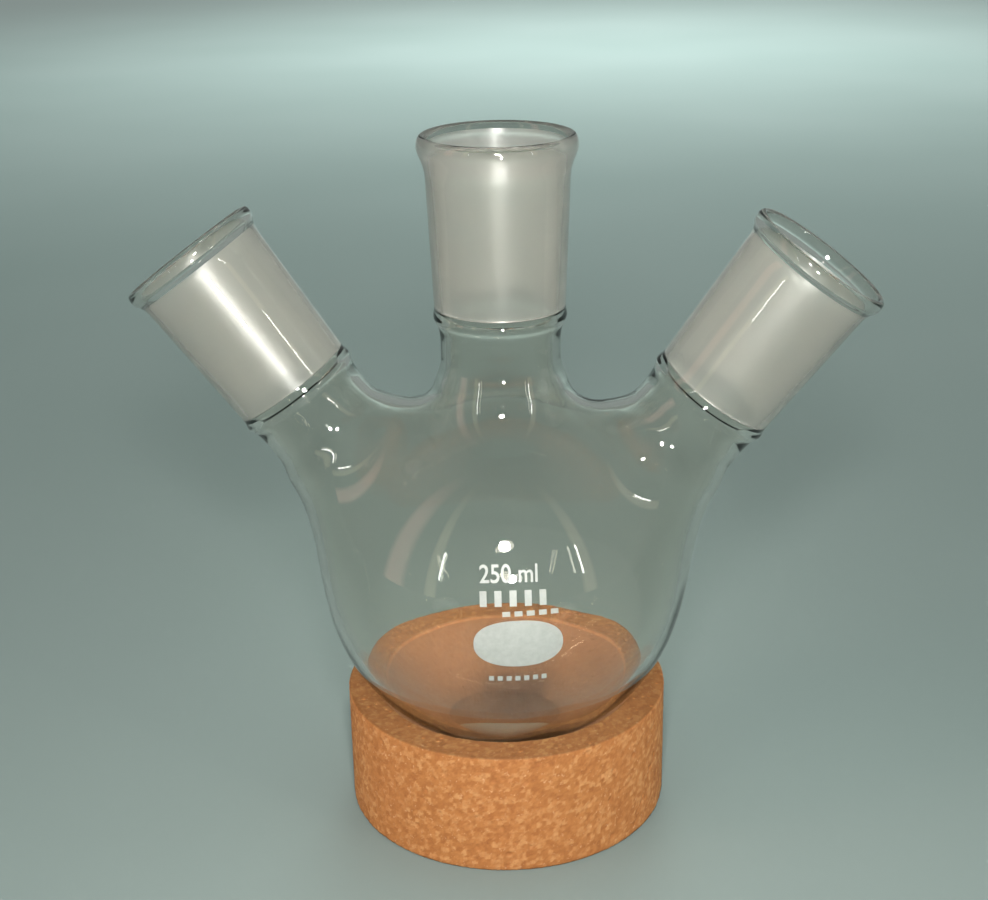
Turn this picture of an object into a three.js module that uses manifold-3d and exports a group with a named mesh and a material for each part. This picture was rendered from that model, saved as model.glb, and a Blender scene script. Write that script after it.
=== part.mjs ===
// 250 mL three-neck round bottom flask standing in a cork ring.
// Millimetres, +Z up. The origin is on the flask's axis, on the surface that the ring stands on.
// The side necks lean along X, and the printed marks face -Y.
import * as THREE from "three";
import { mergeVertices } from "three/addons/utils/BufferGeometryUtils.js";
import Module from "manifold-3d";

const wasm = await Module();
wasm.setup();

// ---- Driving dimensions ----

const GAP = 0.3; // clearance between neighbouring pieces
const SKIRT = 3; // how far a solid runs past the plane that trims it
const DEGREE = Math.PI / 180;

const RING = { outerR: 38.25, height: 30, boreR: 15, seatTopR: 31, edgeR: 1 };
const BULB = { outerR: 42.5, innerR: 40.5 };

// A 45 degree seat holds the ball one gap off the cork.
const BULB_Z = RING.height - RING.seatTopR + (BULB.outerR + GAP) * Math.SQRT2;

// All three neck axes cross on the flask's axis, below the middle of the bulb.
const CROSSING = new THREE.Vector3(0, 0, 38);

// Along each neck, distances are from the crossing point.
const CENTRE_NECK = { tilt: 0, lip: 123.3, topR: 15.9, endR: 14.7, beadR: 17.6, fillet: 11 };
const SIDE_NECK = { lip: 120, topR: 15.5, endR: 14.3, beadR: 16.9, fillet: 15 };
const SIDE_TILT = 36 * DEGREE;
const NECKS = {
  centre: CENTRE_NECK,
  left: { ...SIDE_NECK, tilt: -SIDE_TILT },
  right: { ...SIDE_NECK, tilt: SIDE_TILT },
};

// 29/32 standard taper: 29.2 mm bore at the top, narrowing by 1 in 10.
const SOCKET = {
  length: 38,
  groundTopR: 14.6,
  groundEndR: 12.9,
  groundTop: 4,
  bellR: 15.3,
  rimWidth: 0.9,
  beadDrop: 5,
};
const SHANK = { outerR: 13.6, innerR: 11.4, rise: 6 };

// Fired enamel on the front of the bulb: sizes along and up the glass, and where each one sits,
// in degrees round to the right of -Y and up from the bulb's middle.
const ENAMEL_THICKNESS = 0.3;
const MARKS = {
  capacity_mark: { width: 12.6, height: 4.4, azimuth: 6.8, elevation: 22.5, corner: 0.5 },
  grade_bars: { width: 15, height: 3.6, azimuth: 8, elevation: 15.3, corner: 0.5 },
  upper_line: { width: 12.4, height: 1.6, azimuth: 13, elevation: 10.8, corner: 0.4 },
  writing_spot: { width: 20, height: 11, azimuth: 9.3, elevation: 1.5, corner: 5.5 },
  lower_line: { width: 13, height: 1.7, azimuth: 9, elevation: -10, corner: 0.4 },
};

const FACETS = { round: 48, neck: 32, sphereRows: 22, filletSteps: 4 };

const GLASS = { color: 0xc9d6d0, roughness: 0.05, metalness: 0 };
const GROUND_GLASS = { color: 0xc8beb8, roughness: 0.7, metalness: 0 };
const CORK = { color: 0xc8874b, roughness: 0.9, metalness: 0 };
const WHITE_ENAMEL = { color: 0xdfe3dd, roughness: 0.5, metalness: 0 };

// ---- Solids ----

function toSolid(geometry) {
  const bare = geometry.clone();
  bare.deleteAttribute("normal");
  bare.deleteAttribute("uv");
  const merged = mergeVertices(bare, 1e-4);
  return new wasm.Manifold(
    new wasm.Mesh({
      numProp: 3,
      vertProperties: new Float32Array(merged.attributes.position.array),
      triVerts: new Uint32Array(merged.index.array),
    }),
  );
}

function toGeometry(solid) {
  const { vertProperties, triVerts } = solid.getMesh();
  const geometry = new THREE.BufferGeometry();
  geometry.setAttribute("position", new THREE.BufferAttribute(vertProperties, 3));
  geometry.setIndex(new THREE.BufferAttribute(triVerts, 1));
  geometry.computeVertexNormals();
  return geometry;
}

// A profile of [radius, height] points turned about Z.
function turned(profile, segments) {
  const points = profile.map(([r, z]) => new THREE.Vector2(r, z));
  return new THREE.LatheGeometry(points, segments).rotateX(Math.PI / 2);
}

// Points of an arc in a profile, from one angle to another.
function arc(centreR, centreZ, radius, from, to, steps) {
  return Array.from({ length: steps + 1 }, (_, i) => {
    const a = (from + ((to - from) * i) / steps) * DEGREE;
    return [centreR + radius * Math.cos(a), centreZ + radius * Math.sin(a)];
  });
}

function ball(radius) {
  return new THREE.SphereGeometry(radius, FACETS.round, FACETS.sphereRows)
    .rotateX(Math.PI / 2)
    .translate(0, 0, BULB_Z);
}

// Turns a neck's own frame, with its axis along Z, into the flask's frame.
function neckMatrix(neck) {
  return new THREE.Matrix4()
    .makeRotationY(neck.tilt)
    .setPosition(CROSSING.x, CROSSING.y, CROSSING.z);
}

// ---- The blown body: each shank runs into the bulb in a fillet ----

const OUTER = { ballR: BULB.outerR, shankR: SHANK.outerR, endR: (neck) => neck.endR };
const INNER = { ballR: BULB.innerR, shankR: SHANK.innerR, endR: () => SOCKET.groundEndR };

// Where the shank ends and the ground socket begins.
function seamOf(neck) {
  return neck.lip - SOCKET.length;
}

// A shank widens over its last stretch to meet its socket.
function shankRadius(neck, along, skin) {
  const t = THREE.MathUtils.smoothstep(along, seamOf(neck) - SHANK.rise, seamOf(neck));
  return THREE.MathUtils.lerp(skin.shankR, skin.endR(neck), t);
}

// Where a line along the shank's wall meets the bulb.
function wallMeetsBall(foot, axis, ballR) {
  const middle = new THREE.Vector3(0, 0, BULB_Z);
  const sphere = new THREE.Sphere(middle, ballR);
  const outside = foot.clone().addScaledVector(axis, 2 * ballR);
  const inward = new THREE.Ray(outside, axis.clone().negate());
  return inward.intersectSphere(sphere, new THREE.Vector3());
}

// The fillet's three control points at one turn round the neck: up the wall, the corner,
// and as far out over the ball.
function filletControls(neck, skin, turn) {
  const toFlask = neckMatrix(neck);
  const axis = new THREE.Vector3(0, 0, 1).transformDirection(toFlask);
  const spoke = new THREE.Vector3(Math.cos(turn), Math.sin(turn), 0).transformDirection(toFlask);
  const foot = CROSSING.clone().addScaledVector(spoke, skin.shankR);
  const corner = wallMeetsBall(foot, axis, skin.ballR);
  const up = corner.clone().addScaledVector(axis, neck.fillet);
  const middle = new THREE.Vector3(0, 0, BULB_Z);
  const normal = corner.clone().sub(middle).normalize();
  const over = spoke.clone().projectOnPlane(normal).normalize();
  const swing = new THREE.Vector3().crossVectors(normal, over);
  const out = normal.applyAxisAngle(swing, neck.fillet / skin.ballR);
  return [up, corner, out.multiplyScalar(skin.ballR).add(middle)];
}

// One skin of a shank: its flared wall, then the fillet, closed at the crossing point.
function shank(neck, skin) {
  const top = seamOf(neck) + SKIRT;
  const toFlask = neckMatrix(neck);
  const wallStops = [top, seamOf(neck), seamOf(neck) - SHANK.rise / 2, seamOf(neck) - SHANK.rise];
  const rings = wallStops.length + FACETS.filletSteps + 1;
  const topCentre = new THREE.Vector3(0, 0, top).applyMatrix4(toFlask);
  const positions = [...CROSSING.toArray(), ...topCentre.toArray()];
  for (let i = 0; i < FACETS.neck; i += 1) {
    const turn = (2 * Math.PI * i) / FACETS.neck;
    wallStops.forEach((along) => {
      const r = shankRadius(neck, along, skin);
      const wall = new THREE.Vector3(r * Math.cos(turn), r * Math.sin(turn), along);
      positions.push(...wall.applyMatrix4(toFlask).toArray());
    });
    const fillet = new THREE.QuadraticBezierCurve3(...filletControls(neck, skin, turn));
    fillet.getPoints(FACETS.filletSteps).forEach((p) => positions.push(...p.toArray()));
  }

  const corner = (ring, i) => 2 + (i % FACETS.neck) * rings + ring;
  const index = [];
  for (let i = 0; i < FACETS.neck; i += 1) {
    index.push(1, corner(0, i), corner(0, i + 1));
    index.push(0, corner(rings - 1, i + 1), corner(rings - 1, i));
    for (let ring = 0; ring < rings - 1; ring += 1) {
      index.push(corner(ring, i), corner(ring + 1, i), corner(ring + 1, i + 1));
      index.push(corner(ring, i), corner(ring + 1, i + 1), corner(ring, i + 1));
    }
  }
  const geometry = new THREE.BufferGeometry();
  geometry.setAttribute("position", new THREE.Float32BufferAttribute(positions, 3));
  geometry.setIndex(index);
  return toSolid(geometry);
}

function bodySkin(skin) {
  const bulb = toSolid(ball(skin.ballR));
  return Object.values(NECKS).reduce((body, neck) => body.add(shank(neck, skin)), bulb);
}

// What lies beyond a neck's seam.
function beyondSeam(neck) {
  const depth = 2 * SKIRT;
  const block = new THREE.CylinderGeometry(neck.beadR, neck.beadR, depth, FACETS.neck)
    .rotateX(Math.PI / 2)
    .translate(0, 0, seamOf(neck) - GAP + depth / 2);
  return toSolid(block.applyMatrix4(neckMatrix(neck)));
}

// The blown shell, cut off square where each ground socket begins.
function flaskBulb() {
  const shell = bodySkin(OUTER).subtract(bodySkin(INNER));
  return Object.values(NECKS).reduce((body, neck) => body.subtract(beyondSeam(neck)), shell);
}

// ---- Ground sockets ----

// A tapered socket from its seam up to the beaded lip, in the neck's own frame.
function socket(neck) {
  const seam = seamOf(neck);
  const rimR = SOCKET.bellR + SOCKET.rimWidth;
  const beadRound = neck.beadR - rimR;
  const beadZ = neck.lip - beadRound;
  const profile = [
    [SOCKET.groundEndR, seam],
    [neck.endR, seam],
    [neck.topR, neck.lip - SOCKET.beadDrop],
    ...arc(rimR, beadZ, beadRound, -40, 90, 5),
    [SOCKET.bellR, neck.lip],
    [SOCKET.groundTopR + 0.15, neck.lip - 1.2],
    [SOCKET.groundTopR, neck.lip - SOCKET.groundTop],
    [SOCKET.groundEndR, seam],
  ];
  return turned(profile, FACETS.neck);
}

// ---- Cork ring ----

function corkRing() {
  const { outerR, height, boreR, seatTopR, edgeR } = RING;
  const profile = [
    [boreR, 0],
    ...arc(outerR - edgeR, edgeR, edgeR, -90, 0, 3),
    ...arc(outerR - edgeR, height - edgeR, edgeR, 0, 90, 3),
    [seatTopR, height],
    [boreR, height - (seatTopR - boreR)],
    [boreR, 0],
  ];
  return turned(profile, FACETS.round);
}

// ---- Enamel marks ----

function roundedOutline({ width, height, corner }) {
  const [x, y] = [width / 2, height / 2];
  const shape = new THREE.Shape();
  shape.moveTo(corner - x, -y);
  shape.absarc(x - corner, corner - y, corner, -Math.PI / 2, 0);
  shape.absarc(x - corner, y - corner, corner, 0, Math.PI / 2);
  shape.absarc(corner - x, y - corner, corner, Math.PI / 2, Math.PI);
  shape.absarc(corner - x, corner - y, corner, Math.PI, 1.5 * Math.PI);
  return shape;
}

// A patch of the shell of enamel over the bulb, cut to the mark's outline.
function enamelMark(mark) {
  const inner = BULB.outerR + GAP;
  const shell = toSolid(fineBall(inner + ENAMEL_THICKNESS)).subtract(toSolid(fineBall(inner)));
  const outline = new THREE.ExtrudeGeometry(roundedOutline(mark), {
    depth: BULB.outerR + 2 * SKIRT,
    bevelEnabled: false,
    curveSegments: 6,
  });
  outline
    .rotateX(Math.PI / 2 - mark.elevation * DEGREE)
    .rotateZ(mark.azimuth * DEGREE)
    .translate(0, 0, BULB_Z);
  return toGeometry(shell.intersect(toSolid(outline)));
}

// A ball with facets fine enough for the thin enamel.
function fineBall(radius) {
  return new THREE.SphereGeometry(radius, 2 * FACETS.round, 2 * FACETS.sphereRows)
    .rotateX(Math.PI / 2)
    .translate(0, 0, BULB_Z);
}

// ---- Assembly ----

function piece(name, geometry, look) {
  const mesh = new THREE.Mesh(geometry, new THREE.MeshStandardMaterial(look));
  mesh.name = name;
  return mesh;
}

function socketPiece(side, neck) {
  const mesh = piece(side + "_socket", socket(neck), GROUND_GLASS);
  mesh.position.copy(CROSSING);
  mesh.rotation.y = neck.tilt;
  return mesh;
}

function flask() {
  const group = new THREE.Group();
  group.add(piece("flask_bulb", toGeometry(flaskBulb()), GLASS));
  for (const [side, neck] of Object.entries(NECKS)) group.add(socketPiece(side, neck));
  for (const [name, mark] of Object.entries(MARKS)) {
    group.add(piece(name, enamelMark(mark), WHITE_ENAMEL));
  }
  return group;
}

const assembly = new THREE.Group();
assembly.add(piece("cork_ring", corkRing(), CORK), flask());

export default assembly;
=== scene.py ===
"""A three-neck round bottom flask of clear glass, standing in a cork ring.

Lengths in this script are millimetres until a mesh or an object is made, and metres from there on.
The side necks lean along X, and the printed marks face -Y.
"""

import math

import bpy
import numpy as np
from mathutils import Matrix, Vector
from mathutils.geometry import delaunay_2d_cdt


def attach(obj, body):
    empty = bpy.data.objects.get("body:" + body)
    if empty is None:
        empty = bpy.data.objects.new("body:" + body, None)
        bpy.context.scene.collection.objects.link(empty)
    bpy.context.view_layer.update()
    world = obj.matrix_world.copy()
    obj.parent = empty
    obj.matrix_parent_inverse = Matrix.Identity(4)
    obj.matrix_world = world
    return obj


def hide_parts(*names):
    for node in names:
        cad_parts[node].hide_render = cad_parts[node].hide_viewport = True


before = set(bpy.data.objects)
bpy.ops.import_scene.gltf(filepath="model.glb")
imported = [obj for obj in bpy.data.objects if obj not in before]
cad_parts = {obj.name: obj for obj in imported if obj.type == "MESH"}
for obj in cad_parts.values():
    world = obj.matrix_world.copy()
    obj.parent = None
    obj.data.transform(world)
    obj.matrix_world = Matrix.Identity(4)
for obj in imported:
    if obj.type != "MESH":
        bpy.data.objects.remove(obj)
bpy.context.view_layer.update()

MM = 0.001

# ---- The flask's sizes ----

RING_HEIGHT = 30.0
RING_OUTER_R = 38.25
RING_BORE_R = 15.0
RING_SEAT_TOP_R = 31.0
BULB_R = 42.5
SEAT_GAP = 0.3

# A 45 degree seat holds the ball one gap off the cork.
BULB_Z = RING_HEIGHT - RING_SEAT_TOP_R + (BULB_R + SEAT_GAP) * math.sqrt(2)
BULB_CENTRE = np.array([0.0, 0.0, BULB_Z])
CROSSING = np.array([0.0, 0.0, 38.0])  # where the three necks' axes meet

SOCKET_LENGTH = 38.0
SEAM_GAP = 0.06
SHANK_RISE = 8.0  # how much of a shank widens to meet its socket
STUB_DEPTH = (12.0, 18.5)  # below the seam, a shank steps out to the wider stub drawn from the bulb
STUB_STEP = 1.3
WELD_DEPTH = 2.4  # a low ring of glass where the socket was fused on
WELD_WIDTH = 1.2
WELD_START = 0.8  # the ring grows from nothing over this much below the seam
SHANK_FOOT = 20.0  # a shank is rounded off below this, inside the bulb
GROUND_TOP_R = 14.6
GROUND_END_R = 12.9
GROUND_DEPTH = 4.0  # from the lip down to the start of the ground zone

SIDE_TILT = math.radians(36)

SHANK_R = 13.5
WELD_HEIGHT = 0.5

# How thick the blown glass is: in the ball and in the shanks, and extra at the bottom and at the welds.
BALL_WALL = 2.0
SHANK_WALL = 2.1
BOTTOM_EXTRA = 0.4
WELD_EXTRA = 0.6
UNEVENNESS = 0.13
BALL_TO_SHANK = (58, 74)  # along a neck, the ball's thickness passes into the shank's


class Neck:
    """One neck: its lean, its lip's distance from the crossing point, and its radii and rim."""

    def __init__(self, tilt, lip, end_r, blend, rim, first_ground):
        self.tilt = tilt
        self.lip = lip
        self.end_r = end_r
        self.blend = blend  # the width of the fillet into the ball
        self.rim = rim
        self.first_ground = first_ground  # the part of the socket's section where the ground glass starts
        self.seam = lip - SOCKET_LENGTH
        self.axis = np.array([math.sin(tilt), 0.0, math.cos(tilt)])

    def matrix(self):
        """From the neck's own frame, with its axis along Z, to the object's, in millimetres."""
        return Matrix.Translation(CROSSING) @ Matrix.Rotation(self.tilt, 4, "Y")


# A rim's outline, as (depth below the lip, radius), from the inner edge out and down to the plain wall.
CENTRE_RIM = [
    (0.7, 15.35),
    (0.15, 15.75),
    (0.0, 16.25),
    (0.3, 16.95),
    (1.2, 17.45),
    (2.6, 17.6),
    (4.0, 17.25),
    (5.6, 16.6),
    (7.4, 16.05),
    (9.0, 15.85),
]
SIDE_RIM = [
    (0.7, 15.2),
    (0.15, 15.5),
    (0.0, 15.95),
    (0.25, 16.5),
    (0.9, 16.85),
    (1.9, 16.9),
    (2.8, 16.75),
    (3.7, 16.2),
    (4.7, 15.7),
    (6.0, 15.45),
]
NECKS = {
    "centre": Neck(0.0, 123.3, 14.7, 9.0, CENTRE_RIM, 4),
    "left": Neck(-SIDE_TILT, 120.0, 14.3, 14.0, SIDE_RIM, 5),
    "right": Neck(SIDE_TILT, 120.0, 14.3, 14.0, SIDE_RIM, 5),
}

# ---- Meshes ----


def unit(vectors):
    return vectors / np.linalg.norm(vectors, axis=-1, keepdims=True)


def smoothstep(value, low, high):
    """From 0 at low to 1 at high, level at both ends."""
    t = np.clip((value - low) / (high - low), 0, 1)
    return t * t * (3 - 2 * t)


def new_object(name, vertices, faces, matrix=None, smooth=True):
    """An object from an array of vertices in millimetres and a list of faces."""
    mesh = bpy.data.meshes.new(name)
    mesh.from_pydata((vertices * MM).tolist(), [], faces)
    mesh.polygons.foreach_set("use_smooth", [smooth] * len(mesh.polygons))
    mesh.update()
    obj = bpy.data.objects.new(name, mesh)
    if matrix is not None:
        place = matrix.copy()
        place.translation *= MM
        obj.matrix_world = place
    bpy.context.scene.collection.objects.link(obj)
    return obj


def place_piece(obj, body, node):
    """obj rides on a body, and the CAD node it stands for is hidden."""
    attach(obj, body)
    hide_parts(node)


def curve_through(points, step):
    """Catmull-Rom curve through the points, sampled about a step apart."""
    points = np.asarray(points, dtype=float)
    ends = [2 * points[0] - points[1], *points, 2 * points[-1] - points[-2]]
    curve = []
    for a, b, c, d in zip(ends, ends[1:], ends[2:], ends[3:]):
        count = max(2, round(np.linalg.norm(c - b) / step))
        for t in np.arange(count) / count:
            bend = 2 * b + (c - a) * t + (2 * a - 5 * b + 4 * c - d) * t**2
            curve.append((bend + (3 * b - a - 3 * c + d) * t**3) / 2)
    curve.append(points[-1])
    return np.array(curve)


def straight(start, end, step):
    """Points from start to end about a step apart, without the end itself."""
    start, end = np.asarray(start, dtype=float), np.asarray(end, dtype=float)
    count = max(1, round(np.linalg.norm(end - start) / step))
    return start + np.outer(np.arange(count) / count, end - start)


def turned(profile, count):
    """Vertices and quads of a closed anticlockwise (radius, height) profile turned about Z."""
    profile = np.asarray(profile)
    turns = 2 * np.pi * np.arange(count) / count
    radius, height = profile[:, 0], profile[:, 1]
    x = np.outer(np.cos(turns), radius)
    y = np.outer(np.sin(turns), radius)
    vertices = np.stack([x, y, np.broadcast_to(height, x.shape)], axis=-1).reshape(-1, 3)
    size = len(profile)
    i, j = np.meshgrid(np.arange(count), np.arange(size), indexing="ij")
    next_i, next_j = (i + 1) % count * size, (j + 1) % size
    quads = np.stack([i * size + j, next_i + j, next_i + next_j, i * size + next_j], axis=-1)
    return vertices, quads.reshape(-1, 4)


# ---- The blown bulb, with its three shanks run in ----


def smooth_min(a, b, width):
    """The lower of two distances, with the corner between them filled in."""
    overlap = np.maximum(width - np.abs(a - b), 0) / width
    return np.minimum(a, b) - overlap * overlap * width / 4


def weld_profile(depth):
    """From 0 to 1 and back over the ring of glass below a seam."""
    return np.exp(-(((depth - WELD_DEPTH) / WELD_WIDTH) ** 2)) * smoothstep(depth, 0, WELD_START)


def shank_radius(neck, along):
    """A shank's outer radius at some distances along the neck."""
    depth = neck.seam - along
    flare = (neck.end_r - SHANK_R) * (1 - smoothstep(depth, 0, SHANK_RISE))
    stub = STUB_STEP * smoothstep(depth, *STUB_DEPTH)
    return SHANK_R + flare + stub + WELD_HEIGHT * weld_profile(depth)


def neck_frame(points, neck):
    """How far along a neck's axis the points are, and how far off it."""
    offset = points - CROSSING
    along = offset @ neck.axis
    return along, np.linalg.norm(offset - np.outer(along, neck.axis), axis=1)


# The slow waves in a blown wall: each one's direction, in radians a millimetre, and its phase.
WAVES = [
    ((0.21, 0.13, 0.0), 0.9),
    ((0.0, 0.17, -0.15), 2.1),
    ((0.33, 0.0, -0.05), 4.0),
    ((0.23, 0.27, 0.0), -0.6),
]


def ripple(points):
    """The unevenness of a blown wall, from -1 to 1."""
    return sum(np.sin(points @ direction + phase) for direction, phase in WAVES) / len(WAVES)


def field(points):
    """How far the points are outside the blown body. It is negative inside."""
    distance = np.linalg.norm(points - BULB_CENTRE, axis=1) - BULB_R
    for neck in NECKS.values():
        along, across = neck_frame(points, neck)
        below = np.minimum(along - SHANK_FOOT, 0)
        shank = np.hypot(across, below) - shank_radius(neck, along)
        distance = smooth_min(distance, shank, neck.blend)
    return distance


def wall_thickness(points):
    """How thick the glass is under points of the body's outer skin."""
    offset = points - BULB_CENTRE
    rise = offset[:, 2] / np.linalg.norm(offset, axis=1)
    ball = BALL_WALL + BOTTOM_EXTRA * ((1 - rise) / 2) ** 2 + UNEVENNESS * ripple(points)
    thickness = ball
    for neck in NECKS.values():
        along, _ = neck_frame(points, neck)
        depth = neck.seam - along
        thinner = (neck.end_r - GROUND_END_R - SHANK_WALL) * (1 - smoothstep(depth, 0, SHANK_RISE))
        shank = SHANK_WALL + thinner + WELD_EXTRA * weld_profile(depth)
        thickness = thickness + smoothstep(along, *BALL_TO_SHANK) * (shank - ball)
    return thickness


def gradient(function, points):
    """The gradient of a function of points."""
    step = 0.02  # small beside any curve of the glass
    parts = [function(points + step * axis) - function(points - step * axis) for axis in np.eye(3)]
    return np.stack(parts, axis=1) / (2 * step)


def inner_skin(outer, normals):
    """The inside of the wall under points of the outer skin: its points and its outward normals."""
    inner = outer - normals * wall_thickness(outer)[:, None]
    tilt = gradient(wall_thickness, outer)
    tilt -= np.sum(tilt * normals, axis=1, keepdims=True) * normals  # what of it lies in the skin
    return inner, unit(normals + tilt)


RING_POINTS = 120  # vertices in each ring round a neck
WALL_FOOT = 70.0  # rings of vertices go straight down a shank's wall as far as this
WALL_STEP = 0.5
FILLET_EDGE = math.radians(17.3)  # and on over the fillet, out to this angle from the neck's axis
FILLET_STEPS = 24
FILLET_SAMPLES = 160  # for measuring the way over the fillet
BALL_EDGE = math.radians(18.0)  # scattered vertices take over from this one
NECK_EDGE = math.radians(32.0)  # the scatter is finer out to this angle, where the fillets run out
NECK_SPACING = 0.75
BALL_SPACING = 1.3
ROW_SHARE = 0.866  # rows of evenly spaced points are this much of their spacing apart
SCATTER_GAP = 0.006  # radians left clear between the fine and the coarse scatter
BOTTOM_GAP = math.radians(1.2)  # and round the one vertex at the bottom
LAYOUT_MOUTH = math.radians(3)  # in the layout, a neck's top ring stands at this angle from its axis


def wall_stops(neck):
    """Distances along a neck of the rings down its wall."""
    return np.linspace(neck.seam, WALL_FOOT, round((neck.seam - WALL_FOOT) / WALL_STEP))


def spokes(neck):
    """Unit directions square to a neck's axis, all round it."""
    turns = 2 * np.pi * np.arange(RING_POINTS) / RING_POINTS
    side = np.array([math.cos(neck.tilt), 0, -math.sin(neck.tilt)])
    return np.outer(np.cos(turns), side) + np.outer(np.sin(turns), [0, 1, 0])


def cone_directions(neck, angles):
    """Unit directions from the crossing point, ring by ring, at angles from a neck's axis."""
    angles = np.broadcast_to(np.reshape(angles, (len(angles), -1)), (len(angles), RING_POINTS))
    out = np.sin(angles)[..., None] * spokes(neck)
    return (np.cos(angles)[..., None] * neck.axis + out).reshape(-1, 3)


def fillet_angles(neck):
    """Angles from a neck's axis of the rings over its fillet, each an equal way on along the skin."""
    foot = CROSSING + WALL_FOOT * neck.axis
    wall = cross_skin(np.broadcast_to(foot, (RING_POINTS, 3)), spokes(neck))
    start = np.arctan2(np.linalg.norm(wall - foot, axis=1), WALL_FOOT)
    samples = np.linspace(start, np.full(RING_POINTS, FILLET_EDGE), FILLET_SAMPLES)
    rays = cone_directions(neck, samples)
    points = cross_skin(np.broadcast_to(CROSSING, rays.shape), rays)
    points = points.reshape(FILLET_SAMPLES, RING_POINTS, 3)
    steps = np.linalg.norm(np.diff(points, axis=0), axis=2)
    travel = np.concatenate([np.zeros((1, RING_POINTS)), np.cumsum(steps, axis=0)])
    wanted = np.linspace(0, 1, FILLET_STEPS + 1)[1:]
    rings = [np.interp(wanted * t[-1], t, column) for t, column in zip(travel.T, samples.T)]
    return np.stack(rings, axis=1)


def even_scatter(spacing):
    """Unit directions from the crossing point to points about a spacing apart on the ball."""
    count = round(4 * np.pi * BULB_R**2 / (ROW_SHARE * spacing**2))
    k = np.arange(count)
    height = 1 - (2 * k + 1) / count
    turn = k * math.pi * (3 - math.sqrt(5))
    flat = np.sqrt(1 - height**2)
    ball = np.stack([flat * np.cos(turn), flat * np.sin(turn), height], axis=1) * BULB_R
    return unit(ball + BULB_CENTRE - CROSSING)


def scattered_directions():
    """The scatter's directions: a fine one round the necks, and a coarser one elsewhere."""
    bands = [(NECK_SPACING, BALL_EDGE, NECK_EDGE), (BALL_SPACING, NECK_EDGE + SCATTER_GAP, 2 * math.pi)]
    kept = []
    for spacing, start, end in bands:
        ray = even_scatter(spacing)
        angle = np.min([np.arccos(np.clip(ray @ neck.axis, -1, 1)) for neck in NECKS.values()], axis=0)
        keep = (angle > start) & (angle < end) & (ray[:, 2] > -math.cos(BOTTOM_GAP))
        kept.append(ray[keep])
    return np.concatenate(kept)


def skin_points():
    """All of the outer skin's vertices: the necks' rings, the scatter, and one at the bottom."""
    starts, rays = [], []
    for neck in NECKS.values():
        for along in wall_stops(neck):
            starts.append(np.broadcast_to(CROSSING + along * neck.axis, (RING_POINTS, 3)))
            rays.append(spokes(neck))
        cone = cone_directions(neck, fillet_angles(neck))
        starts.append(np.broadcast_to(CROSSING, cone.shape))
        rays.append(cone)
    rest = np.concatenate([scattered_directions(), [[0.0, 0.0, -1.0]]])
    starts.append(np.broadcast_to(CROSSING, rest.shape))
    rays.append(rest)
    return cross_skin(np.concatenate(starts), np.concatenate(rays))


# A line is still inside the body at the first of these. From a neck's axis it has left the body by the
# second, and from the crossing point by the third. The stretch between is halved until it has no length.
STILL_INSIDE = 5.0
ACROSS_SHANK = 24.0
ACROSS_BODY = 95.0
HALVINGS = 36


def cross_skin(starts, rays):
    """Where lines that start inside the blown body leave it."""
    near = np.full(len(rays), STILL_INSIDE)
    from_crossing = np.linalg.norm(starts - CROSSING, axis=1) < 1
    far = np.where(from_crossing, ACROSS_BODY, ACROSS_SHANK)
    for _ in range(HALVINGS):
        middle = (near + far) / 2
        inside = field(starts + rays * middle[:, None]) < 0
        near = np.where(inside, middle, near)
        far = np.where(inside, far, middle)
    return starts + rays * near[:, None]


def ring_starts():
    """The index of the first vertex of each neck's top ring."""
    starts, index = [], 0
    for neck in NECKS.values():
        starts.append(index)
        index += (len(wall_stops(neck)) + FILLET_STEPS) * RING_POINTS
    return starts


def layout_directions():
    """The vertices as directions with no two alike, which say how they are joined up."""
    rings = []
    for neck in NECKS.values():
        count = len(wall_stops(neck)) + FILLET_STEPS
        rings.append(cone_directions(neck, np.linspace(LAYOUT_MOUTH, FILLET_EDGE, count)))
    return np.concatenate([*rings, scattered_directions()])


def skin_triangles():
    """Triangles between the vertices, facing out, with the three necks left open."""
    rays = layout_directions()
    bottom = len(rays)
    flat = rays[:, :2] / (1 + rays[:, 2:3])
    result = delaunay_2d_cdt([Vector(p) for p in flat], [], [], 0, 1e-9)
    original = [ids[0] for ids in result[3]]
    triangles = [tuple(original[v] for v in face) for face in result[2]]
    sides = {edge for t in triangles for edge in ((t[0], t[1]), (t[1], t[2]), (t[2], t[0]))}
    triangles += [(b, a, bottom) for a, b in sides if (b, a) not in sides]
    mouths = [range(start, start + RING_POINTS) for start in ring_starts()]
    return np.array([t for t in triangles if not any(all(v in mouth for v in t) for mouth in mouths)])


def bulb_shell():
    """Vertices, triangles and one normal for each triangle's corner, of the whole blown body."""
    outer = skin_points()
    outer_normals = unit(gradient(field, outer))
    inner, inner_normals = inner_skin(outer, outer_normals)
    triangles = skin_triangles()
    shift = len(outer)
    normals = np.concatenate([outer_normals, -inner_normals])
    inside = triangles[:, ::-1] + shift
    faces = [triangles, inside]
    corner_normals = [normals[triangles], normals[inside]]
    for start, neck in zip(ring_starts(), NECKS.values()):
        a = start + np.arange(RING_POINTS)
        b = start + (np.arange(RING_POINTS) + 1) % RING_POINTS
        seam = np.concatenate([np.stack([a, b, b + shift], 1), np.stack([a, b + shift, a + shift], 1)])
        faces.append(seam)
        corner_normals.append(np.broadcast_to(neck.axis, (*seam.shape, 3)))
    return np.concatenate([outer, inner]), np.concatenate(faces), np.concatenate(corner_normals)


def make_bulb(material):
    vertices, faces, normals = bulb_shell()
    bulb = new_object("bulb_glass", vertices, faces.tolist())
    bulb.data.normals_split_custom_set(normals.reshape(-1, 3).tolist())
    bulb.data.materials.append(material)
    place_piece(bulb, "flask", "flask_bulb")


# ---- The ground sockets ----

SOCKET_TURNS = 144

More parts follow.
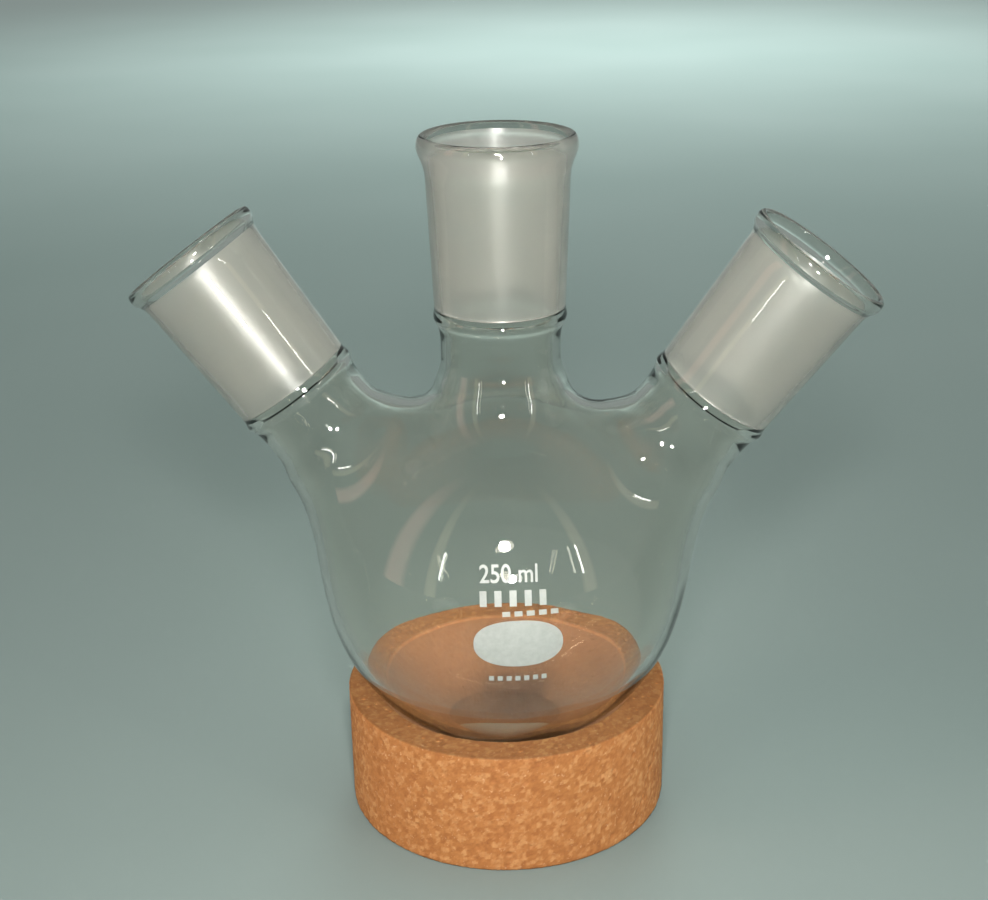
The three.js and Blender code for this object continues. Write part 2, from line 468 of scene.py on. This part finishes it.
# Above its ground zone the bore opens out to the lip, as (depth below the lip, radius).
BELL = [
    (GROUND_DEPTH, GROUND_TOP_R),
    (GROUND_DEPTH - 1.3, GROUND_TOP_R + 0.12),
    (1.6, 14.95),
]


def below_lip(neck, outline):
    """An outline's (depth below the lip, radius) points as (radius, height) ones."""
    return np.array([(radius, neck.lip - depth) for depth, radius in outline])


def socket_profile(neck):
    """The section of a socket wall, and which of its points start a stretch of ground glass."""
    foot = neck.seam + SEAM_GAP
    ground_top = neck.lip - GROUND_DEPTH
    taper = (GROUND_TOP_R - GROUND_END_R) / (ground_top - neck.seam)
    ground_foot_r = GROUND_END_R + taper * SEAM_GAP
    rim, bell = below_lip(neck, neck.rim), below_lip(neck, BELL)
    # The foot, the outer wall, the rim, the lip inside it, the bell, and the ground bore.
    parts = [
        straight((ground_foot_r, foot), (neck.end_r, foot), 0.6),
        straight((neck.end_r, foot), rim[-1], 1.5),
        curve_through(rim[::-1], 0.2)[:-1],
        straight(rim[0], bell[-1], 0.3),
        curve_through(bell[::-1], 0.3)[:-1],
        straight(bell[0], (ground_foot_r, foot), 1.5),
    ]
    ground = np.concatenate([np.full(len(part), i >= neck.first_ground) for i, part in enumerate(parts)])
    return np.concatenate(parts), ground


def mark_sharp_rings(obj, corner_points, size):
    """Keeps the shading crisp round a turned section's true corners. size is its number of points."""
    mesh = obj.data
    for edge in mesh.edges:
        a, b = edge.vertices
        if a % size == b % size and a % size in corner_points:
            edge.use_edge_sharp = True


def make_socket(side, clear, ground):
    neck = NECKS[side]
    profile, is_ground = socket_profile(neck)
    vertices, faces = turned(profile, SOCKET_TURNS)
    obj = new_object(side + "_socket_glass", vertices, faces.tolist(), neck.matrix())
    obj.data.materials.append(clear)
    obj.data.materials.append(ground)
    obj.data.polygons.foreach_set("material_index", np.tile(is_ground, SOCKET_TURNS).astype(int))
    seam_end = int(np.argmax(profile[:, 0] >= neck.end_r - 1e-6))
    mark_sharp_rings(obj, {0, seam_end}, len(profile))
    place_piece(obj, "flask", side + "_socket")


# ---- The cork ring ----

CORK_TURNS = 565
CORK_STEP = 0.40
SEAT_STEP = 0.50
GRANULE = 1.15
LUMP = 3.6
LUMP_SHIFT = 40  # so that lumps don't line up with granules
RELIEF = 0.09
PIT_DEPTH = 0.5
PIT_SHARE = 0.05  # of the granules
TONE_SALT = 1
PIT_SALT = 2
SEED_SALTS = (11, 12, 13)
FAR_OFF = 9.0  # further than any granule's seed, in cells


def scramble(cells, salt):
    """A repeatable number from 0 to 1 for each integer cell, by a usual integer hash."""
    with np.errstate(over="ignore"):
        mixed = cells[..., 0] * 73856093 ^ cells[..., 1] * 19349663 ^ cells[..., 2] * 83492791
        mixed = (mixed ^ salt * 2654435761) & 0xFFFFFFFF
        for _ in range(2):
            mixed = (mixed ^ mixed >> 15) * 2246822519 & 0xFFFFFFFF
    return (mixed ^ mixed >> 13) % 100003 / 100003


def granules(points, size):
    """For each point, the nearest granule's cell, and the distances to it and to the next one."""
    scaled = points / size
    home = np.floor(scaled).astype(np.int64)
    nearest = np.full(len(points), FAR_OFF)
    second = np.full(len(points), FAR_OFF)
    owner = home.copy()
    for step in np.ndindex(3, 3, 3):
        cell = home + np.array(step) - 1
        seed = cell + np.stack([scramble(cell, salt) for salt in SEED_SALTS], axis=1)
        distance = np.linalg.norm(seed - scaled, axis=1)
        closer = distance < nearest
        second = np.where(closer, nearest, np.minimum(second, distance))
        nearest = np.where(closer, distance, nearest)
        owner[closer] = cell[closer]
    return owner, nearest, second


def cork_profile():
    """The ring's section, anticlockwise from the foot of the bore, with its edges eased."""
    top = RING_HEIGHT - RELIEF
    bore_r, outer_r, seat_r = RING_BORE_R + RELIEF, RING_OUTER_R - RELIEF, RING_SEAT_TOP_R + RELIEF
    # Each corner's (radius, height), how far it is eased, and the step between points from there on.
    corners = [
        ((bore_r, 0.0), 0.8, 3.0),
        ((outer_r, 0.0), 1.0, CORK_STEP),
        ((outer_r, top), 0.8, CORK_STEP),
        ((seat_r, top), 0.35, SEAT_STEP),
        ((bore_r, top - RING_SEAT_TOP_R + RING_BORE_R), 0.6, 0.8),
    ]
    points = []
    for i, (corner, ease, step) in enumerate(corners):
        before = Vector(corners[i - 1][0])
        here = Vector(corner)
        after = Vector(corners[(i + 1) % len(corners)][0])
        next_ease = corners[(i + 1) % len(corners)][1]
        enter = here + (before - here).normalized() * ease
        leave = here + (after - here).normalized() * ease
        arrive = after + (here - after).normalized() * next_ease
        for t in (0, 0.25, 0.5, 0.75):
            points.append(enter.lerp(here, t).lerp(here.lerp(leave, t), t))
        points.extend(Vector(p) for p in straight(leave, arrive, step))
    return np.array([tuple(p) for p in points])


def profile_normals(profile):
    """The outward normals of a closed anticlockwise section."""
    along = np.roll(profile, -1, axis=0) - np.roll(profile, 1, axis=0)
    return unit(np.stack([along[:, 1], -along[:, 0]], axis=1))


def cork_relief(vertices):
    """How far each point of the ring stands out or in, and the numbers that colour it."""
    cell, near, second = granules(vertices, GRANULE)
    tone = scramble(cell, TONE_SALT)
    groove = 1 - smoothstep(second - near, 0.02, 0.22)
    pit = (scramble(cell, PIT_SALT) < PIT_SHARE) * (1 - smoothstep(near, 0.15, 0.6))
    _, lump_near, lump_second = granules(vertices + LUMP_SHIFT, LUMP)
    lump = smoothstep(lump_second - lump_near, 0, 0.6)
    relief = RELIEF * (0.7 * (tone - 0.5) - groove + 0.35 * (lump - 0.5)) - PIT_DEPTH * pit
    return relief, tone, groove, pit


def add_attribute(mesh, name, values):
    """Gives each vertex a number, which the material reads by its name."""
    layer = mesh.attributes.new(name, "FLOAT", "POINT")
    layer.data.foreach_set("value", np.asarray(values, dtype=np.float32))


def make_ring(material):
    profile = cork_profile()
    vertices, faces = turned(profile, CORK_TURNS)
    relief, tone, groove, pit = cork_relief(vertices)
    spread = np.tile(profile_normals(profile), (CORK_TURNS, 1))
    outward = unit(vertices[:, :2])
    rests = smoothstep(vertices[:, 2], 0.0, 0.6)  # the underside stays flat
    vertices[:, :2] += outward * (spread[:, 0] * relief)[:, None]
    vertices[:, 2] += spread[:, 1] * relief * rests
    ring = new_object("cork_ring_body", vertices, faces.tolist())
    add_attribute(ring.data, "granule_tone", tone)
    add_attribute(ring.data, "granule_groove", np.maximum(groove, pit))
    ring.data.materials.append(material)
    place_piece(ring, "stand", "cork_ring")


# ---- The fired enamel marks ----

ENAMEL_LIFT = 0.03
ENAMEL_THICKNESS = 0.07
BLOCK_CELLS = (2, 4)  # enough across and up for a block to follow the bulb's curve

# Where the middle of each mark is on the bulb: degrees round from -Y towards +X, and degrees up.
CAPACITY_AT = (6.8, 22.5)
BARS_AT = (8.0, 15.3)
UPPER_DASHES_AT = (13.0, 10.8)
SPOT_AT = (9.3, 1.5)
LOWER_DASHES_AT = (9.0, -10.0)


def on_bulb(flat, lift, azimuth, elevation):
    """Points of a flat drawing, laid on the bulb with its middle at an azimuth and an elevation."""
    turn, rise = math.radians(azimuth), math.radians(elevation)
    out = np.array([math.sin(turn) * math.cos(rise), -math.cos(turn) * math.cos(rise), math.sin(rise)])
    right = np.array([math.cos(turn), math.sin(turn), 0.0])
    up = np.cross(right, -out)
    ray = out * BULB_R + np.outer(flat[:, 0], right) + np.outer(flat[:, 1], up)
    return BULB_CENTRE + unit(ray) * (BULB_R + lift)


def enamel_slab(flat, faces, azimuth, elevation):
    """A thin closed slab over the flat drawing's faces, which are anticlockwise."""
    low = on_bulb(flat, ENAMEL_LIFT, azimuth, elevation)
    high = on_bulb(flat, ENAMEL_LIFT + ENAMEL_THICKNESS, azimuth, elevation)
    count = len(flat)
    sides = {(f[i], f[(i + 1) % len(f)]) for f in faces for i in range(len(f))}
    rim = [(a, b) for a, b in sides if (b, a) not in sides]
    solid = [tuple(v + count for v in f) for f in faces]
    solid += [tuple(reversed(f)) for f in faces]
    solid += [(a, b, b + count, a + count) for a, b in rim]
    return np.concatenate([low, high]), solid


def block(middle, width, height):
    """A flat rectangle of cells, with its middle at some X."""
    columns, rows = BLOCK_CELLS
    x = np.linspace(-width / 2, width / 2, columns + 1) + middle
    y = np.linspace(-height / 2, height / 2, rows + 1)
    flat = np.array([(a, b) for b in y for a in x])
    row = columns + 1
    faces = [
        (j * row + i, j * row + i + 1, (j + 1) * row + i + 1, (j + 1) * row + i)
        for j in range(rows)
        for i in range(columns)
    ]
    return flat, faces


def block_row(count, pitch, width, height, at):
    """Drawings of a row of blocks, with their middles a pitch apart."""
    middles = (np.arange(count) - (count - 1) / 2) * pitch
    return [(*block(middle, width, height), *at) for middle in middles]


def oval(width, height, rings=8, count=72, power=2.3):
    """A flat oval, a little squarer than an ellipse."""
    turns = 2 * np.pi * np.arange(count) / count
    x = np.sign(np.cos(turns)) * np.abs(np.cos(turns)) ** (2 / power) * width / 2
    y = np.sign(np.sin(turns)) * np.abs(np.sin(turns)) ** (2 / power) * height / 2
    edge = np.stack([x, y], axis=1)
    flat = np.concatenate([[[0.0, 0.0]], *[edge * k / rings for k in range(1, rings + 1)]])
    faces = [(0, 1 + i, 1 + (i + 1) % count) for i in range(count)]
    for ring in range(rings - 1):
        base = 1 + ring * count
        for i in range(count):
            j = (i + 1) % count
            faces.append((base + i, base + count + i, base + count + j, base + j))
    return flat, faces


def lettering(body, width, height):
    """Flat points and faces of plain characters, scaled to a width and height round the middle."""
    curve = bpy.data.curves.new("lettering", "FONT")
    curve.body = body
    curve.resolution_u = 6
    curve.offset = 0.012  # a little bolder
    holder = bpy.data.objects.new("lettering", curve)
    bpy.context.scene.collection.objects.link(holder)
    bpy.context.view_layer.update()
    mesh = bpy.data.meshes.new_from_object(holder.evaluated_get(bpy.context.evaluated_depsgraph_get()))
    points = np.array([tuple(v.co)[:2] for v in mesh.vertices])
    keys, index = np.unique(np.round(points, 5), axis=0, return_inverse=True)
    faces = []
    for polygon in mesh.polygons:
        corners = [int(index.ravel()[v]) for v in polygon.vertices]
        if len(set(corners)) > 2:
            faces.append(tuple(corners if polygon.normal.z > 0 else corners[::-1]))
    bpy.data.objects.remove(holder)
    bpy.data.meshes.remove(mesh)
    low, high = keys.min(axis=0), keys.max(axis=0)
    return (keys - (low + high) / 2) * [width, height] / (high - low), faces


def make_mark(name, node, drawings, material):
    """One printed mark: drawings are (flat points, faces, azimuth, elevation)."""
    vertices, faces, index = [], [], 0
    for drawing in drawings:
        points, solid = enamel_slab(*drawing)
        vertices.append(points)
        faces += [tuple(v + index for v in f) for f in solid]
        index += len(points)
    mark = new_object(name, np.concatenate(vertices), faces, smooth=False)
    mark.data.materials.append(material)
    place_piece(mark, "flask", node)


def make_marks(material):
    """Plain numerals, rows of blocks with no lettering, and an oval spot to write on."""
    capacity = lettering("250 ml", width=12.4, height=4.0)
    make_mark("capacity_print", "capacity_mark", [(*capacity, *CAPACITY_AT)], material)
    bars = block_row(5, pitch=3.2, width=1.5, height=3.4, at=BARS_AT)
    make_mark("bars_print", "grade_bars", bars, material)
    dashes = block_row(5, pitch=2.6, width=1.7, height=1.1, at=UPPER_DASHES_AT)
    make_mark("upper_dashes_print", "upper_line", dashes, material)
    spot = oval(width=19.6, height=10.8)
    make_mark("spot_print", "writing_spot", [(*spot, *SPOT_AT)], material)
    dashes = block_row(7, pitch=1.9, width=1.1, height=1.2, at=LOWER_DASHES_AT)
    make_mark("lower_dashes_print", "lower_line", dashes, material)


# ---- Materials ----


class Nodes:
    """The node tree of a material or a world, with short ways to add and join nodes."""

    def __init__(self, owner):
        owner.use_nodes = True
        self.tree = owner.node_tree

    def add(self, kind, **settings):
        node = self.tree.nodes.new("ShaderNode" + kind)
        for key, value in settings.items():
            setattr(node, key, value)
        return node

    def set(self, node, **values):
        """Sets inputs of a node by name, with an underscore for each space."""
        for key, value in values.items():
            node.inputs[key.replace("_", " ")].default_value = value
        return node

    def join(self, source, target):
        self.tree.links.new(source, target)

    def feed(self, value, target):
        """Gives an input a value, which is a socket, a colour or a number."""
        if isinstance(value, bpy.types.NodeSocket):
            self.join(value, target)
        else:
            target.default_value = (*value, 1.0) if isinstance(value, tuple) else value

    def vector(self, operation, vector, other=None):
        """A VectorMath node that works on a socket and, if it takes two, three numbers."""
        node = self.add("VectorMath", operation=operation)
        self.join(vector, node.inputs[0])
        if other is not None:
            node.inputs[1].default_value = other
        return node

    def maths(self, operation, a, b):
        node = self.add("Math", operation=operation)
        for value, target in zip((a, b), node.inputs):
            self.feed(value, target)
        return node.outputs["Value"]

    def spread(self, value, low, high, to_low=0.0, to_high=1.0):
        """Takes low to to_low and high to to_high, in a straight line between, and no further."""
        node = self.add("MapRange")
        for key, number in zip(("From Min", "From Max", "To Min", "To Max"), (low, high, to_low, to_high)):
            node.inputs[key].default_value = number
        self.join(value, node.inputs["Value"])
        return node.outputs["Result"]

    def mix(self, factor, a, b, blend="MIX"):
        """Mixes two colours. Each is a socket or a colour, and the factor is a socket or a number."""
        node = self.add("Mix", data_type="RGBA", blend_type=blend)
        for value, target in ((factor, node.inputs[0]), (a, node.inputs[6]), (b, node.inputs[7])):
            self.feed(value, target)
        return node.outputs[2]

    def ramp(self, value, *stops):
        """Colours along a value: stops are (position, colour)."""
        node = self.add("ValToRGB")
        while len(node.color_ramp.elements) < len(stops):
            node.color_ramp.elements.new(0.5)
        for element, (position, colour) in zip(node.color_ramp.elements, stops):
            element.position = position
            element.color = (*colour, 1.0)
        self.join(value, node.inputs["Fac"])
        return node.outputs["Color"]


class MaterialNodes(Nodes):
    """A new material's nodes. Noise scales are per metre, and bump distances are in metres."""

    def __init__(self, name):
        self.material = bpy.data.materials.new(name)
        super().__init__(self.material)
        self.surface = self.tree.nodes["Principled BSDF"]
        self.output = self.tree.nodes["Material Output"]

    def place(self):
        return self.add("TexCoord").outputs["Object"]

    def noise(self, scale, detail=3.0, roughness=0.5, vector=None):
        node = self.set(self.add("TexNoise"), Scale=scale, Detail=detail, Roughness=roughness)
        self.join(vector or self.place(), node.inputs["Vector"])
        return node.outputs["Fac"]

    def seat(self):
        """1 on the ring's conical seat and in its bore, 0 on its other faces."""
        flat = self.vector("MULTIPLY", self.place(), (1.0, 1.0, 0.0))
        radius = self.vector("LENGTH", flat.outputs["Vector"])
        outside, inside = (RING_SEAT_TOP_R + 0.3) * MM, (RING_SEAT_TOP_R - 0.8) * MM
        return self.spread(radius.outputs["Value"], outside, inside)

    def height(self, low, high):
        """0 below one height above the bench, 1 above another, in millimetres."""
        split = self.add("SeparateXYZ")
        self.join(self.place(), split.inputs["Vector"])
        return self.spread(split.outputs["Z"], low * MM, high * MM)

    def bump(self, height, strength, distance):
        node = self.set(self.add("Bump"), Strength=strength, Distance=distance)
        self.join(height, node.inputs["Height"])
        self.join(node.outputs["Normal"], self.surface.inputs["Normal"])

    def end_with(self, factor, shader):
        """The material shows its surface where the factor is 0, and another shader where it is 1."""
        mixer = self.add("MixShader")
        self.join(factor, mixer.inputs[0])
        self.join(self.surface.outputs["BSDF"], mixer.inputs[1])
        self.join(shader, mixer.inputs[2])
        self.join(mixer.outputs["Shader"], self.output.inputs["Surface"])


GLASS_IOR = 1.474


def let_lamps_through(n, face_on, edge_on):
    """Lamps reach past the glass, dimmed a little face on and more at its edges."""
    weight = n.set(n.add("LayerWeight"), Blend=0.35)
    shade = n.ramp(weight.outputs["Facing"], (0.0, face_on), (0.55, face_on), (1.0, edge_on))
    clear = n.add("BsdfTransparent")
    n.join(shade, clear.inputs["Color"])
    n.end_with(n.add("LightPath").outputs["Is Shadow Ray"], clear.outputs["BSDF"])


def clear_glass():
    """Borosilicate glass, faintly smeared."""
    n = MaterialNodes("clear_borosilicate")
    n.set(n.surface, IOR=GLASS_IOR, Transmission_Weight=1.0)
    smear = n.noise(55, 4)
    tint = n.mix(n.spread(smear, 0.35, 0.7), (0.935, 0.92, 0.878), (0.918, 0.908, 0.868))
    n.join(tint, n.surface.inputs["Base Color"])
    n.join(n.spread(smear, 0.45, 0.75, 0.0, 0.03), n.surface.inputs["Roughness"])
    n.bump(n.noise(38, 1.5), 0.35, 0.0003)
    let_lamps_through(n, (0.9, 0.905, 0.9), (0.5, 0.52, 0.5))
    return n.material


def ground_glass():
    """The frosted inner face of a standard taper, with fine rings from the grinding."""
    n = MaterialNodes("ground_taper")
    n.set(n.surface, IOR=GLASS_IOR, Transmission_Weight=0.85)
    grain = n.noise(2600, 2, 0.6)
    cloud = n.noise(90, 3)
    tint = n.mix(n.spread(cloud, 0.3, 0.7), (0.59, 0.578, 0.538), (0.53, 0.545, 0.515))
    n.join(tint, n.surface.inputs["Base Color"])
    n.join(n.spread(cloud, 0.3, 0.7, 0.28, 0.33), n.surface.inputs["Roughness"])
    squeezed = n.vector("MULTIPLY", n.place(), (1.0, 1.0, 60.0))
    ridges = n.noise(40, 2, 0.6, squeezed.outputs["Vector"])
    n.bump(n.mix(0.75, grain, ridges), 0.6, 0.00001)
    let_lamps_through(n, (0.62, 0.62, 0.6), (0.4, 0.4, 0.38))
    return n.material


def enamel():
    """White fired enamel, a little uneven where it was screened on."""
    n = MaterialNodes("fired_white_enamel")
    thin = n.noise(700, 3, 0.6)
    tint = n.mix(n.spread(thin, 0.3, 0.7), (0.32, 0.35, 0.335), (0.38, 0.41, 0.395))
    n.join(tint, n.surface.inputs["Base Color"])
    n.join(n.spread(thin, 0.3, 0.7, 0.38, 0.55), n.surface.inputs["Roughness"])
    n.bump(thin, 0.3, 0.00003)
    return n.material


def cork():
    """Agglomerated cork: granules of many browns, dark seams and pits between them."""
    n = MaterialNodes("agglomerated_cork")
    tone = n.add("Attribute", attribute_name="granule_tone").outputs["Fac"]
    groove = n.add("Attribute", attribute_name="granule_groove").outputs["Fac"]
    fine = n.noise(1500, 4, 0.65)
    wide = n.noise(60, 3)
    mottled = n.maths("ADD", n.maths("MULTIPLY", tone, 0.62), n.maths("MULTIPLY", fine, 0.5))
    body = n.ramp(
        mottled,
        (0.14, (0.28, 0.10, 0.028)),
        (0.34, (0.38, 0.15, 0.044)),
        (0.60, (0.45, 0.19, 0.060)),
        (0.90, (0.56, 0.29, 0.115)),
    )
    body = n.mix(n.spread(wide, 0.35, 0.7, 0.0, 0.30), body, (0.45, 0.165, 0.05))
    speck = n.spread(n.noise(900, 2, 0.7), 0.62, 0.74)
    body = n.mix(n.maths("MULTIPLY", speck, 0.45), body, (0.80, 0.52, 0.29))
    elsewhere = n.vector("ADD", n.place(), (0.3, 0.3, 0.3))
    dark = n.spread(n.noise(700, 2, 0.7, elsewhere.outputs["Vector"]), 0.64, 0.74)
    body = n.mix(n.maths("MULTIPLY", dark, 0.45), body, (0.25, 0.085, 0.025))
    colour = n.mix(n.maths("MULTIPLY", groove, 0.30), body, (0.26, 0.095, 0.03))
    # painted shade: the ring's top face is darkened to stand in for the bulb's shadow falling on it
    top = n.height(RING_HEIGHT - 0.7, RING_HEIGHT - 0.25)
    colour = n.mix(top, colour, (0.43, 0.44, 0.42), "MULTIPLY")
    # painted shade: the conical seat and bore under the bulb are darkened nearly to black-brown, to stand
    # in for shade there
    seat_shaded_colour = n.mix(n.maths("MULTIPLY", n.seat(), 0.855), colour, (0.13, 0.06, 0.028))
    n.join(seat_shaded_colour, n.surface.inputs["Base Color"])
    n.join(n.spread(fine, 0.3, 0.7, 0.72, 0.92), n.surface.inputs["Roughness"])
    n.set(n.surface, Specular_IOR_Level=0.25, Diffuse_Roughness=0.4)
    n.bump(fine, 0.5, 0.00012)
    return n.material


ROOM_PLAIN = (0.26, 0.30, 0.288)  # the room's light, as seen straight on or through the glass

# In metres: the bench turns from its own colour into the room's between two distances from a point.
FADE_POINT = (0.0, 0.6, 0.0)
FADE_START = 0.75
FADE_END = 2.0


def table_top():
    """A plain pale grey-green bench top, which runs out into the plain room far from the object."""
    n = MaterialNodes("bench_top")
    cloud = n.noise(3, 2)
    colour = n.mix(n.spread(cloud, 0.3, 0.7), (0.197, 0.250, 0.243), (0.220, 0.273, 0.267))
    n.join(colour, n.surface.inputs["Base Color"])
    n.set(n.surface, Roughness=1.0, Specular_IOR_Level=0.0)
    distance = n.vector("DISTANCE", n.place(), FADE_POINT)
    far = n.set(n.add("Emission"), Color=(*ROOM_PLAIN, 1.0))
    n.end_with(n.spread(distance.outputs["Value"], FADE_START, FADE_END), far.outputs["Emission"])
    return n.material


# ---- Stage, light and camera ----

# The camera stands in front of the object, a little towards +X, tilted down, with a slight roll.
# Its place is in millimetres before the turn about Z, and the angles are in radians.
CAMERA_TURN = 0.103
CAMERA_PLACE = (-1.94, -350.0, 224.64)
CAMERA_PITCH = 0.371
CAMERA_ROLL = -0.019
CAMERA_LENS = 59.4


def make_camera():
    turn = Matrix.Rotation(CAMERA_TURN, 4, "Z")
    data = bpy.data.cameras.new("camera")
    data.lens = CAMERA_LENS
    data.sensor_width = 36.0
    data.clip_start = 0.01
    camera = bpy.data.objects.new("camera", data)
    tip = Matrix.Rotation(math.pi / 2 - CAMERA_PITCH, 4, "X")
    roll = Matrix.Rotation(CAMERA_ROLL, 4, "Z")
    camera.matrix_world = turn @ Matrix.Translation(Vector(CAMERA_PLACE) * MM) @ tip @ roll
    bpy.context.scene.collection.objects.link(camera)
    bpy.context.scene.camera = camera


def make_lamp(name, place, aim, size, power, colour, shows=False, lights=True):
    """A soft lamp: places and sizes in metres, power in watts.

    It shows as a glint in the glass if shows is set, and lights matt surfaces if lights is set.
    """
    data = bpy.data.lights.new(name, "AREA")
    data.shape = "ELLIPSE" if size[0] == size[1] else "RECTANGLE"
    data.size, data.size_y = size
    data.energy = power
    data.color = colour
    lamp = bpy.data.objects.new(name, data)
    lamp.location = place
    lamp.rotation_euler = (Vector(aim) - Vector(place)).to_track_quat("-Z", "Y").to_euler()
    lamp.visible_glossy = shows
    lamp.visible_transmission = shows
    lamp.visible_diffuse = lights
    bpy.context.scene.collection.objects.link(lamp)


# The room's walls as the glass reflects them: degrees round from -Y towards +X, and their light.
ROOM = [
    (-180, (0.20, 0.225, 0.215)),
    (-110, (0.16, 0.18, 0.17)),
    (-75, (0.13, 0.14, 0.13)),
    (-71, (2.30, 1.38, 1.15)),
    (-62, (2.15, 1.32, 1.10)),
    (-57, (0.10, 0.11, 0.105)),
    (-45, (0.10, 0.11, 0.105)),
    (-43, (1.65, 1.52, 1.00)),
    (-38, (1.55, 1.43, 0.95)),
    (-36, (0.085, 0.095, 0.09)),
    (54, (0.085, 0.095, 0.09)),
    (56, (1.65, 1.42, 1.00)),
    (62, (1.55, 1.35, 1.00)),
    (64, (0.13, 0.14, 0.135)),
    (105, (0.30, 0.32, 0.30)),
    (130, (0.34, 0.36, 0.34)),
    (180, (0.20, 0.225, 0.215)),
]
ROOM_TOP = (0.13, 0.15, 0.145)
WALL_TOP = 0.6  # the walls give way to the ceiling from this much of a direction's rise
CEILING_FROM = 0.95


def make_room():
    """A plain pale room to look at. In reflections, and as light, it is dim with bright upright bands."""
    world = bpy.data.worlds.new("room")
    n = Nodes(world)
    split = n.add("SeparateXYZ")
    n.join(n.add("TexCoord").outputs["Generated"], split.inputs["Vector"])
    forward = n.maths("MULTIPLY", split.outputs["Y"], -1.0)
    turn = n.maths("ARCTAN2", split.outputs["X"], forward)
    around = n.spread(turn, -math.pi, math.pi)
    walls = n.ramp(around, *[((degrees + 180) / 360, colour) for degrees, colour in ROOM])
    rise = n.spread(split.outputs["Z"], WALL_TOP, CEILING_FROM)
    path = n.add("LightPath")
    straight_on = n.maths("MAXIMUM", path.outputs["Is Camera Ray"], path.outputs["Is Transmission Ray"])
    colour = n.mix(straight_on, n.mix(rise, walls, ROOM_TOP), ROOM_PLAIN)
    n.join(colour, n.tree.nodes["Background"].inputs["Color"])
    bpy.context.scene.world = world
    bpy.context.scene.view_settings.view_transform = "Standard"


def make_lamps():
    make_lamp(
        "near_lamp",
        place=(0.03, -0.30, 0.27),
        aim=(0, 0, 0.06),
        size=(0.040, 0.040),
        power=1.75,
        colour=(1.0, 0.96, 0.90),
        shows=True,
    )
    make_lamp(
        "low_glint",
        place=(0.055, -0.313, 0.152),
        aim=(-0.03, 0, 0.09),
        size=(0.026, 0.026),
        power=0.8,
        colour=(1.0, 0.99, 0.96),
        shows=True,
        lights=False,
    )
    make_lamp(
        "overhead",
        place=(0.0, 0.7, 2.1),
        aim=(0, 0.5, 0),
        size=(1.6, 1.6),
        power=9.5,
        colour=(0.88, 1.0, 0.98),
    )
    make_lamp(
        "far_lamp",
        place=(0.0, 1.5, 0.75),
        aim=(0, 1.4, 0),
        size=(0.8, 0.8),
        power=20.0,
        colour=(0.95, 1.0, 0.97),
    )
    for side, x, y, power in (("left", -0.50, -0.72, 0.5), ("right", 0.72, -0.50, 0.6)):
        make_lamp(
            side + "_strip",
            place=(x, y, 0.36),
            aim=(0, 0, 0.06),
            size=(0.018, 0.26),
            power=power,
            colour=(1.0, 0.99, 0.93),
            shows=True,
        )


FLOOR_REACH = 15.0  # metres from the object to each edge


def make_stage():
    corners = np.array([(-1, -1, 0), (1, -1, 0), (1, 1, 0), (-1, 1, 0)])
    floor = new_object("bench", corners * FLOOR_REACH / MM, [(0, 1, 2, 3)])
    floor.data.materials.append(table_top())
    make_room()
    make_lamps()


def main():
    make_camera()
    make_stage()
    clear = clear_glass()
    ground = ground_glass()
    make_bulb(clear)
    for side in NECKS:
        make_socket(side, clear, ground)
    make_ring(cork())
    make_marks(enamel())


main()
